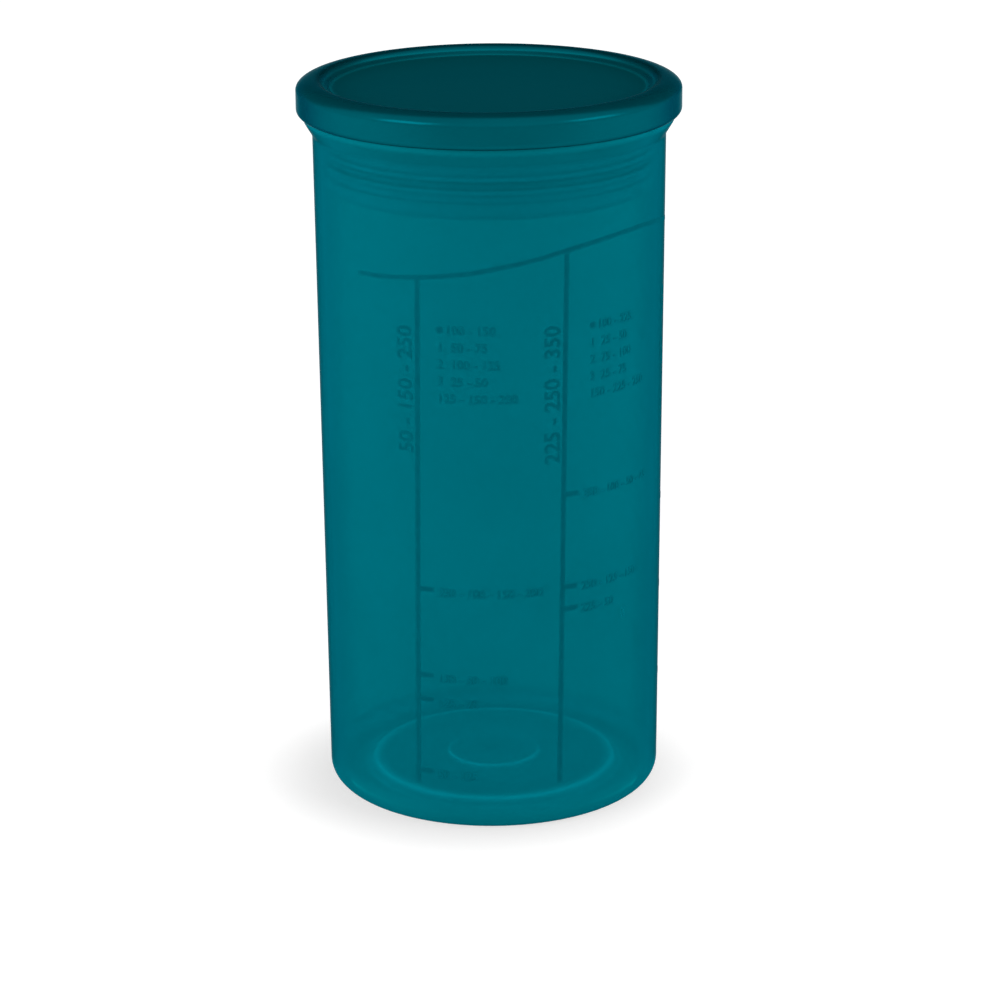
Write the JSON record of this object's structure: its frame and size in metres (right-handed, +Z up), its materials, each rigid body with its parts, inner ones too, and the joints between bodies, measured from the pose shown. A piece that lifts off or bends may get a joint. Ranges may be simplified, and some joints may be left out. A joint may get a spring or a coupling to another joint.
{
  "type": "salad dressing shaker bottle",
  "caption": "Tall tapered see-through beaker for mixing salad dressing, closed by a push-in lid whose hollow plug carries a lipped sealing ring.",
  "frame": {"origin": "centre of the ring that the beaker stands on, at the lowest point", "axes": "+Z up along the bottle's axis, from the base to the lid; -Y is the side that the picture looks at, and +X is to its right"},
  "size_m": [0.088, 0.088, 0.1693],
  "materials": {
    "beaker_plastic": "clear tinted plastic, smooth and glossy",
    "lid_plastic": "solid coloured plastic, smooth with a satin sheen",
    "seal_rubber": "soft, matt"
  },
  "bodies": {
    "beaker": {"beaker": "beaker_plastic"},
    "lid": {"lid": "lid_plastic", "sealing_ring": "seal_rubber"}
  },
  "joints": [
    {"name": "lid_lift", "type": "slide", "parent": "beaker", "child": "lid", "axis": [0, 0, 1], "range_m": [0, 0.06]}
  ]
}
